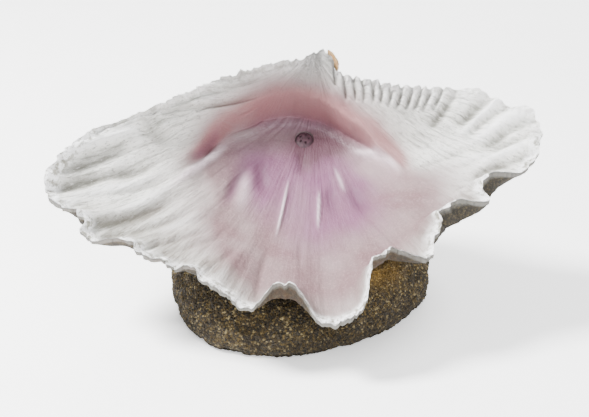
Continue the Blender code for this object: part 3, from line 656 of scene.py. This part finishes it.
def pearlResin():
    # cast polyester resin, airbrushed, with pearl lacquer left off the bowl: silvery wings and lip, a matt pink bowl,
    # and streaks that follow the growth
    material, tree, shader, place = newMaterial("airbrushedPearlResin", {
        "IOR": 1.5, "Coat Weight": 0.06, "Coat Roughness": 0.4,
    })
    growth = addNode(tree, "Attribute", {"attribute_name": "growth"}, {}).outputs["Vector"]
    names = "blush rose lavender plum scar pale bead dark groove ridge bare shade dirt foot stain weathered".split()
    mask = {n: addNode(tree, "Attribute", {"attribute_name": n}, {}).outputs["Fac"] for n in names}
    patterns = {}
    # growth streaks 3 mm, 1 mm and 0.4 mm wide; the finest are drawn about twice their real width
    for name, across, along, rough in (
        ("bands", 0.3, 0.025, 0.55), ("streaks", 1.0, 0.09, 0.6), ("hairs", 2.6, 0.45, 0.7),
    ):
        laid = addNode(tree, "Mapping", {}, {"Vector": growth, "Scale": (across, along, 1)}).outputs[0]
        noiseInputs = {"Vector": laid, "Scale": 1, "Detail": 3, "Roughness": rough}
        patterns[name] = addNode(tree, "TexNoise", {}, noiseInputs).outputs["Fac"]
    # grit of the cast about 1 mm, melted lumps of the edge 3 mm, clouds of the airbrush about 15 mm
    for name, scale, rough in (("grit", 1100, 0.7), ("melt", 420, 0.6), ("cloud", 65, 0.55)):
        noiseInputs = {"Vector": place, "Scale": scale, "Detail": 3, "Roughness": rough}
        patterns[name] = addNode(tree, "TexNoise", {}, noiseInputs).outputs["Fac"]
    p = patterns
    colour = layerColours(tree, linear("#e8e7e1"), (
        (None, p["bands"], 0.42, 0.62, 0, 0.4, "#c6c7c0"),
        (mask["bare"], p["streaks"], 0.5, 0.66, 0, 0.7, "#7f8076"),
        (mask["bare"], p["hairs"], 0.45, 0.35, 0, 0.75, "#68695e"),
        # painted shade in the sunk carving and painted highlight on the raised carving
        (mask["groove"], p["streaks"], 0.3, 0.6, 0.65, 1.0, "#6d6c62"),
        (mask["ridge"], p["hairs"], 0.3, 0.6, 0.8, 1.0, "#ffffff"),
        (mask["bare"], p["hairs"], 0.58, 0.72, 0, 0.55, "#ffffff"),
        (mask["shade"], p["streaks"], 0.3, 0.6, 0.55, 0.85, "#787265"),
        (mask["blush"], p["cloud"], 0.3, 0.7, 0.85, 1.0, "#705456"),
        (mask["blush"], p["grit"], 0.5, 0.66, 0, 0.35, "#a38689"),
        (mask["lavender"], p["cloud"], 0.35, 0.65, 1.0, 0.75, "#6e3f5e"),
        (mask["lavender"], p["streaks"], 0.5, 0.7, 0, 0.2, "#a57f9d"),
        (mask["rose"], p["streaks"], 0.35, 0.7, 0.9, 0.65, "#946464"),
        # painted shade along the foot of the wall
        (mask["foot"], p["cloud"], 0.3, 0.7, 0.35, 0.55, "#8c5a66"),
        # painted shade along the bowl's carved grooves, in plum
        (mask["dark"], p["cloud"], 0.35, 0.65, 0.9, 0.7, "#5e3550"),
        (mask["plum"], p["streaks"], 0.35, 0.7, 1.0, 0.85, "#482632"),
        (mask["scar"], p["cloud"], 0.35, 0.65, 0.8, 1.0, "#8f7a7c"),
        # pinkish white: painted highlight on the bowl's raised ribs, plus the pale fuzzy band below the foot of the
        # wall
        (mask["pale"], p["hairs"], 0.35, 0.6, 0.6, 1.0, "#ecdbe2"),
        # the lip: white lacquer whitened further as painted highlight, with grey-olive blotches of painted shade
        # between its lumps
        (mask["bead"], p["melt"], 0.42, 0.6, 0.55, 1.0, "#ffffff"),
        (mask["bead"], p["melt"], 0.5, 0.38, 0, 0.8, "#77745f"),
        (mask["bead"], p["grit"], 0.44, 0.34, 0, 0.7, "#5f5a44"),
    ))
    bark = layerColours(tree, linear("#3a311c"), (
        (None, p["grit"], 0.5, 0.62, 0, 1, "#574c30"),
        (None, p["grit"], 0.46, 0.36, 0, 0.9, "#161007"),
        (None, p["streaks"], 0.5, 0.7, 0, 0.3, "#7b7152"),
        (None, p["cloud"], 0.52, 0.7, 0, 0.25, "#6c6246"),
        # the raw face darker just under the edge
        (mask["dirt"], p["grit"], 0.64, 0.42, 0.5, 1, "#1a140a"),
        (mask["stain"], p["melt"], 0.35, 0.62, 0.15, 0.9, "#3d2407"),
    ))
    colour = addNode(tree, "Mix", {"data_type": "RGBA"}, {0: mask["weathered"], 6: colour, 7: bark}).outputs[2]
    tree.links.new(colour, shader.inputs["Base Color"])
    gloss = addNode(tree, "MapRange", {}, {"Value": p["streaks"], 1: 0.3, 2: 0.7, 3: 0.42, 4: 0.6}).outputs[0]
    for name, rough in (("blush", 0.78), ("bead", 0.32), ("weathered", 0.88)):
        gloss = addNode(tree, "Mix", {"data_type": "FLOAT"}, {0: mask[name], 2: gloss, 3: rough}).outputs[0]
    tree.links.new(gloss, shader.inputs["Roughness"])
    combed = addNode(tree, "MapRange", {}, {"Value": mask["blush"], 3: 1.0, 4: 0.3}).outputs[0]
    bumps = (
        (p["bands"], 0.0014, combed), (p["streaks"], 0.0008, combed), (p["hairs"], 0.0005, combed),
        (p["grit"], 0.0005, 0.5), (p["melt"], 0.0007, 0.35),
    )
    tree.links.new(layerBumps(tree, bumps), shader.inputs["Normal"])
    return material


clamShell = makeShell()
clamShell.data.materials.append(pearlResin())
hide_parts("shell_valve")
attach(clamShell, "ornament")
print("clam shell:", len(clamShell.data.polygons), "faces")

rock = {
    "outline": (
        (0, -36.5), (9, -32.5), (21, -26), (31, -18.5), (39, -8), (45, 2), (47, 14), (44, 29), (34, 43), (18, 52),
        (2, 54), (-16, 52), (-34, 43), (-44, 29), (-47.5, 14), (-45.5, 1), (-41, -16), (-31, -30), (-17, -36),
    ),
    "centre": (0, 8), "wall": 8.5, "roof": 7, "front": 21.5, "back": 47, "shoulder": 0.72, "shoulderDrop": 12,
    "seatGap": 2.9, "seated": (0, 0.12, 0.26, 0.4, 0.54, 0.66, 0.76), "axis": (1.5, 38.46),
    "portHeight": 14, "port": (8, 37, 40), "bungSeat": (10.4, 49, 20),  # radius, start along y, length
    "waterMarks": ((34, -10, 22, 9), (28, -16, 23, 6), (-1, -35, 23, 6), (6, -33, 23, 5)),
    "columns": 600, "topRows": 30, "wallRows": 44, "grain": 1.05, "grainHeight": 0.62,  # sand grains 0.8 to 1.2 mm
}
rockCurve = closedCurve(rock["outline"])
rockLengths = lengthsAlong(rockCurve)


def ceilingAt(spot):
    # the shell's underside, read clear of the bore
    axis = np.array(rock["axis"])
    apart = spot - axis
    away = np.linalg.norm(apart, axis=-1, keepdims=True)
    keep = shell["boreRadius"] + 1
    spot = np.where(away < keep, axis + apart / np.maximum(away, 1e-6) * keep, spot)
    found = np.full(spot.shape[:-1], 1e3)
    for index in np.ndindex(found.shape):
        start = Vector(((spot[index][0] + stand[0]) * mm, (spot[index][1] + stand[1]) * mm, 0))
        hit, place, _, _ = clamShell.ray_cast(start, (0, 0, 1))
        if hit:
            found[index] = place.z / mm
    return found


def rockSpot(edge, out):
    centre, axis = np.array(rock["centre"]), np.array(rock["axis"])
    inwards = np.clip(1 - np.asarray(out), 0, 1)
    spoke = edge - centre
    return centre + (axis - centre) * inwards**1.15 + unit(spoke) * shell["boreRadius"] * inwards + spoke * out


def rockTop(spot, out):
    slope = rock["front"] + (rock["back"] - rock["front"]) * ease(-5, 46, spot[..., 1])
    drop = rock["shoulderDrop"] * max(0, (out - rock["shoulder"]) / (1 - rock["shoulder"])) ** 2
    return np.minimum(slope, ceilingAt(spot) - rock["seatGap"]) - drop


def makeRock():
    count = rock["columns"]
    edge = readCurve(rockCurve, rockLengths, np.arange(count) / count * rockLengths[-1])[:, :2]
    middle = np.array(rock["centre"])
    inner = 1 - rock["wall"] / np.linalg.norm(edge - middle, axis=1)
    outs = [*rock["seated"][:-1], *np.linspace(0.72, 1, rock["topRows"])]
    rows, weights = [], []
    for out in outs:
        spot = rockSpot(edge, out)
        rows.append(np.column_stack([spot, rockTop(spot, out)]))
        weights.append(0.0 if out < 0.6 else float(ease(0.7, 0.8, out)))
    crest = rows[-1][:, 2]
    for k in range(1, rock["wallRows"] + 1):
        down = k / rock["wallRows"]
        height = crest * (1 - down)
        out = 1 + 0.02 * ease(0, 6, crest - height) - 0.035 * (1 - ease(0, 3, height))
        spot = edge + (edge - middle) * (out - 1)[:, None]
        rows.append(np.column_stack([spot, height]))
        weights.append(1.0)
    for out, height in ((0.5, 0), (1, 0), (1, 4)):  # underside in from the foot, then the chamber's wall
        share = 0.985 + (inner - 0.985) * out
        rows.append(np.column_stack([edge + (edge - middle) * (share - 1)[:, None], np.full(count, float(height))]))
        weights.append(0.0)
    for out in (0.93, 0.78, 0.58, 0.38, 0.18, 0):
        spot = rockSpot(edge, (inner * out)[:, None])
        rows.append(np.column_stack([spot, rockTop(spot, out) - rock["roof"]]))
        weights.append(0.0)
    sections = np.stack(rows, 1)
    weight = np.broadcast_to(np.array(weights), sections.shape[:2]).copy()
    # sand pushed out of the surface: a knobbly mass, then single grains
    across = np.roll(sections, -1, 0) - np.roll(sections, 1, 0)
    down = np.gradient(sections, axis=1)
    normal = unit(np.cross(down, across))
    x, y, z = sections[..., 0], sections[..., 1], sections[..., 2]
    knobs = 0.8 * lumps(x / 7, y / 7, z / 7) + 0.5 * lumps(x / 2.8, y / 2.8, z / 2.8 + 5)
    cells = (sections / rock["grain"]).reshape(-1, 3)
    near = np.array([noise.voronoi(p)[0][0] for p in cells.tolist()]).reshape(x.shape)
    pushed = knobs + rock["grainHeight"] * (0.9 - 1.6 * np.clip(near, 0, 0.9)) - 0.3
    sections = sections + normal * (pushed * weight)[..., None]
    sections[..., 2] = np.maximum(sections[..., 2], 0)
    # rusty water marks run down from the shell's edge at the two front notches
    mark = np.zeros(x.shape)
    for px, py, pz, size in rock["waterMarks"]:
        mark += np.exp(-(((x - px) / size) ** 2 + ((y - py) / size) ** 2 + ((z - pz) / size / 0.6) ** 2))
    mark = np.clip(mark * (1.1 + 0.6 * lumps(x / 3, y / 3, z / 3)), 0, 1)
    return wrappedBody("sandRock", sections + stand, {"mark": mark})


def cutAway(body, radius, start, length):
    # a round hole along y, cut with a boolean and then applied
    mesh = bmesh.new()
    bmesh.ops.create_cone(mesh, cap_ends=True, segments=48, radius1=radius * mm, radius2=radius * mm, depth=length * mm)
    bmesh.ops.rotate(mesh, verts=mesh.verts, matrix=Matrix.Rotation(-pi / 2, 3, "X"))
    place = Vector((rock["axis"][0] + stand[0], start + length / 2 + stand[1], rock["portHeight"])) * mm
    bmesh.ops.translate(mesh, verts=mesh.verts, vec=place)
    cutter = finishedPiece("cutter", mesh)
    cut = body.modifiers.new("port", "BOOLEAN")
    cut.operation, cut.solver, cut.object = "DIFFERENCE", "EXACT", cutter
    bpy.context.view_layer.update()
    data = bpy.data.meshes.new_from_object(body.evaluated_get(bpy.context.evaluated_depsgraph_get()))
    body.modifiers.clear()
    body.data = data
    bpy.data.objects.remove(cutter)


def sandedRock():
    # cast resin rolled in coarse aquarium sand: dry, sparkling tan and umber grains in a dark binder
    material, tree, shader, place = newMaterial("coarseSandFacing", {"IOR": 1.5, "Roughness": 0.88})
    # grains 0.8 mm across, drawn at their real size, and dust half of that
    cell = addNode(tree, "TexVoronoi", {"feature": "F1"}, {"Vector": place, "Scale": 1250, "Randomness": 1})
    dust = addNode(tree, "TexNoise", {}, {"Vector": place, "Scale": 2600, "Detail": 2, "Roughness": 0.6}).outputs["Fac"]
    clump = addNode(tree, "TexNoise", {}, {"Vector": place, "Scale": 130, "Detail": 3, "Roughness": 0.6}).outputs["Fac"]
    split = addNode(tree, "SeparateColor", {}, {"Color": cell.outputs["Color"]})
    height = addNode(tree, "SeparateXYZ", {}, {"Vector": place}).outputs["Z"]
    mark = addNode(tree, "Attribute", {"attribute_name": "mark"}, {}).outputs["Fac"]
    colour = layerColours(tree, linear("#382b10"), (
        (None, split.outputs[0], 0.3, 0.65, 0, 1, "#5c4a22"),
        (None, split.outputs[1], 0.76, 0.88, 0, 0.85, "#93825a"),
        (None, split.outputs[2], 0.56, 0.7, 0, 0.9, "#161005"),
        (None, cell.outputs["Distance"], 0.4, 0.85, 0, 0.85, "#0f0a03"),
        (None, dust, 0.55, 0.75, 0, 0.45, "#7f6a38"),
        (None, clump, 0.5, 0.68, 0, 0.45, "#211608"),
        (mark, clump, 0.35, 0.6, 0.45, 0.85, "#a27c33"),
        # painted shade: the sand darkens over its lowest 10 mm, towards the floor
        (None, height, 0.010, 0.0, 0, 0.6, "#171106"),
    ))
    tree.links.new(colour, shader.inputs["Base Color"])
    grit = addNode(tree, "Math", {"operation": "SUBTRACT"}, {0: 1.0, 1: cell.outputs["Distance"]}).outputs[0]
    tree.links.new(layerBumps(tree, ((grit, 0.001, 1.0), (dust, 0.0004, 0.7))), shader.inputs["Normal"])
    return material


sandRock = makeRock()
cutAway(sandRock, *rock["port"])
cutAway(sandRock, *rock["bungSeat"])
sandRock.data.materials.clear()
sandRock.data.materials.append(sandedRock())
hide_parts("rock_base")
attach(sandRock, "ornament")
print("rock:", len(sandRock.data.polygons), "faces")

putty = {"columns": 260, "rows": 26, "gap": 0.6, "clear": 0.9, "thickest": 9, "edge": 0.76}


def makePutty():
    # epoxy putty squeezed between the rock and the shell, its edge pressed by hand
    count = putty["columns"]
    edge = readCurve(rockCurve, rockLengths, np.arange(count) / count * rockLengths[-1])[:, :2]
    upper, lower = [], []
    for out in np.linspace(0, putty["edge"], putty["rows"]):
        spot = rockSpot(edge, out)
        seat = rockTop(spot, out) + putty["gap"]
        ceiling = ceilingAt(spot) - putty["clear"]
        x, y = spot[:, 0], spot[:, 1]
        pressed = 1.1 * lumps(x / 4.5, y / 4.5, 3.0) + 0.6 * lumps(x / 1.8, y / 1.8, 8.0)
        spot = spot + (spot - np.array(rock["centre"])) * (0.022 * pressed * float(ease(0.6, 0.76, out)))[:, None]
        top = seat + 1 + putty["thickest"] * (1 - out) + 0.4 * pressed * float(ease(0.5, 0.7, out))
        upper.append(np.column_stack([spot, np.minimum(ceiling, top)]))
        lower.append(np.column_stack([spot, seat]))
    return wrappedBody("puttyBed", np.stack(upper + lower[::-1], 1) + stand)


def earthPutty():
    # two-part epoxy putty, hand pressed and dusted with rock sand: dull ochre with rusty stains
    material, tree, shader, place = newMaterial("handPressedPutty", {"IOR": 1.5})
    press = addNode(tree, "TexNoise", {}, {"Vector": place, "Scale": 240, "Detail": 4, "Roughness": 0.6}).outputs["Fac"]
    grain = addNode(tree, "TexVoronoi", {}, {"Vector": place, "Scale": 1300}).outputs["Distance"]
    colour = layerColours(tree, linear("#43331a"), (
        (None, press, 0.4, 0.65, 0, 0.9, "#5d4723"),
        (None, press, 0.5, 0.35, 0, 0.8, "#241806"),
        (None, grain, 0.3, 0.7, 0.4, 0, "#7d6a42"),
    ))
    joinUp(tree, shader, colour, press, 0.72, 0.92, ((press, 0.0012, 0.8), (grain, 0.0003, 0.6)))
    return material


puttyBed = makePutty()
puttyBed.data.materials.append(earthPutty())
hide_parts("bond_bed")
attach(puttyBed, "ornament")
print("putty bed:", len(puttyBed.data.polygons), "faces")

ligament = {"from": 78, "to": 70, "length": 6.6, "proud": 0.8, "deep": 1.8, "high": 4.6, "drop": 1.5, "cuts": 24}


def makeLigament():
    mesh = bmesh.new()
    bmesh.ops.create_cube(mesh, size=1)
    bmesh.ops.subdivide_edges(mesh, edges=mesh.edges, cuts=ligament["cuts"], use_grid_fill=True)
    ends = [rimBearings[0] + (ligament[k] - rimBearings[0]) % 360 for k in ("from", "to")]
    near, far = readCurve(rimCurve, rimBearings, np.array(ends))
    along = (far - near) / np.linalg.norm(far - near)
    out = -np.cross(along, (0, 0, 1))
    for vert in mesh.verts:
        x, y, z = vert.co
        roundOff = 1 - 0.5 * (2 * x) ** 4
        place = (near + far) / 2 + along * x * ligament["length"]
        place = place + out * (ligament["proud"] + (y + 0.5) * ligament["deep"] * roundOff)
        place[2] += -ligament["drop"] + z * ligament["high"] * (1 - 0.35 * (y + 0.5))
        # torn fibres across its outer face
        fibre = noise.noise((x * 14, z * 3, 2.0)) * 0.22 + noise.noise((x * 5, z * 5, 7.0)) * 0.25
        place = place + out * fibre * (y + 0.5)
        vert.co = Vector(fromRim(place)) * mm
    return finishedPiece("umboLigament", mesh)


def tornLigament():
    # cast resin painted as dried ligament: orange tan with darker fibres, half matt
    material, tree, shader, place = newMaterial("paintedLigamentResin", {
        "IOR": 1.5, "Coat Weight": 0.1, "Coat Roughness": 0.4,
    })
    laid = addNode(tree, "Mapping", {}, {"Vector": place, "Scale": (1400, 500, 260)}).outputs[0]
    fibre = addNode(tree, "TexNoise", {}, {"Vector": laid, "Scale": 1, "Detail": 4, "Roughness": 0.6}).outputs["Fac"]
    cloud = addNode(tree, "TexNoise", {}, {"Vector": place, "Scale": 320, "Detail": 2}).outputs["Fac"]
    colour = layerColours(tree, linear("#b9813f"), (
        (None, fibre, 0.45, 0.65, 0, 0.9, "#dcb47a"),
        (None, fibre, 0.48, 0.36, 0, 0.9, "#6d4418"),
        (None, cloud, 0.5, 0.7, 0, 0.7, "#cdb48c"),
    ))
    joinUp(tree, shader, colour, fibre, 0.42, 0.65, ((fibre, 0.0006, 0.8),))
    return material


umboLigament = makeLigament()
umboLigament.data.materials.append(tornLigament())
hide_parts("umbo_ligament")
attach(umboLigament, "ornament")
print("ligament is on")

# common name and making, grain per metre, stretch, two colours, roughness low and high, bump in mm, shader settings
partFinishes = {
    # painted to match the plum around it, so it is dark and half matt
    "bubble_cap": ("airbrushedCapResin", 700, (1, 1, 1), "#341c26", "#4c2b37", 0.5, 0.7, 0.15, {"IOR": 1.53}),
    # a clear tube, glossy and a little milky, with faint draw lines
    "riser_sleeve": (
        "extrudedClearPvc", 420, (1, 1, 0.06), "#cfd3cc", "#e6e8e2", 0.12, 0.3, 0.05,
        {"IOR": 1.54, "Transmission Weight": 0.7},
    ),
    # black and dull, with a fine leathery grain
    "rubber_bung": ("mouldedNitrileRubber", 1300, (1, 1, 1), "#161616", "#2b2a28", 0.55, 0.8, 0.12, {"IOR": 1.52}),
    # smooth, off-white and slightly waxy
    "air_inlet_barb": (
        "mouldedWhiteNylon", 800, (1, 0.3, 1), "#dcdad2", "#efeee8", 0.32, 0.48, 0.05,
        {"IOR": 1.53, "Subsurface Weight": 0.05},
    ),
    # the same nylon, a shade greyer
    "stone_nipple": ("mouldedNylonStem", 800, (1, 0.3, 1), "#d6d4cb", "#eae8e0", 0.34, 0.5, 0.05, {"IOR": 1.53}),
    # milky and soft looking, half see-through
    "stone_sleeve": (
        "extrudedSilicone", 500, (1, 0.1, 1), "#c9ceca", "#dfe2de", 0.3, 0.45, 0.06,
        {"IOR": 1.41, "Transmission Weight": 0.35},
    ),
    # fused blue grit, rough and dry
    "air_stone": ("sinteredAluminaStone", 1700, (1, 1, 1), "#2f5578", "#7fa0bd", 0.85, 0.98, 0.5, {"IOR": 1.6}),
}


def partMaterial(name, scale, stretch, low, high, smooth, rough, bump, settings):
    material, tree, shader, place = newMaterial(name, settings)
    laid = addNode(tree, "Mapping", {}, {"Vector": place, "Scale": stretch}).outputs[0]
    fine = {"Vector": laid, "Scale": scale, "Detail": 4, "Roughness": 0.6}
    grain = addNode(tree, "TexNoise", {}, fine).outputs["Fac"]
    wear = addNode(tree, "TexNoise", {}, {"Vector": laid, "Scale": scale / 7, "Detail": 2}).outputs["Fac"]
    layers = (None, grain, 0.4, 0.62, 0, 1, high), (None, wear, 0.55, 0.7, 0, 0.5, low)
    colour = layerColours(tree, linear(low), layers)
    joinUp(tree, shader, colour, wear, smooth, rough, ((grain, bump * mm, 0.8),))
    return material


for node, finish in partFinishes.items():
    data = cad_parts[node].data
    data.materials.clear()
    data.materials.append(partMaterial(*finish))
print("finishes are on the carried-over parts")


paper = {"halfWidth": 3, "drop": 0.0002, "glow": 1.2, "glowFrom": 0.03, "glowFull": 0.06}


def makeFloor():
    mesh = bmesh.new()
    bmesh.ops.create_grid(mesh, x_segments=1, y_segments=1, size=paper["halfWidth"])
    bmesh.ops.translate(mesh, verts=mesh.verts, vec=(0, 0, -paper["drop"]))
    floor = finishedPiece("paleFloor", mesh)
    # matt studio paper, almost white
    material, tree, shader, place = newMaterial("paleStudioPaper", {"Roughness": 0.95, "Emission Color": "#ffffff"})
    # the paper glows a little, as if lit from below, but stays dark under the rock
    away = addNode(tree, "VectorMath", {"operation": "LENGTH"}, {0: place}).outputs["Value"]
    spread = {"Value": away, 1: paper["glowFrom"], 2: paper["glowFull"], 3: 0, 4: paper["glow"]}
    glow = addNode(tree, "MapRange", {}, spread).outputs[0]
    tree.links.new(glow, shader.inputs["Emission Strength"])
    mottle = addNode(tree, "TexNoise", {}, {"Vector": place, "Scale": 40, "Detail": 2}).outputs["Fac"]
    colour = layerColours(tree, linear("#fefefd"), ((None, mottle, 0.3, 0.7, 0, 1, "#fbfbfa"),))
    tree.links.new(colour, shader.inputs["Base Color"])
    floor.data.materials.append(material)


makeFloor()
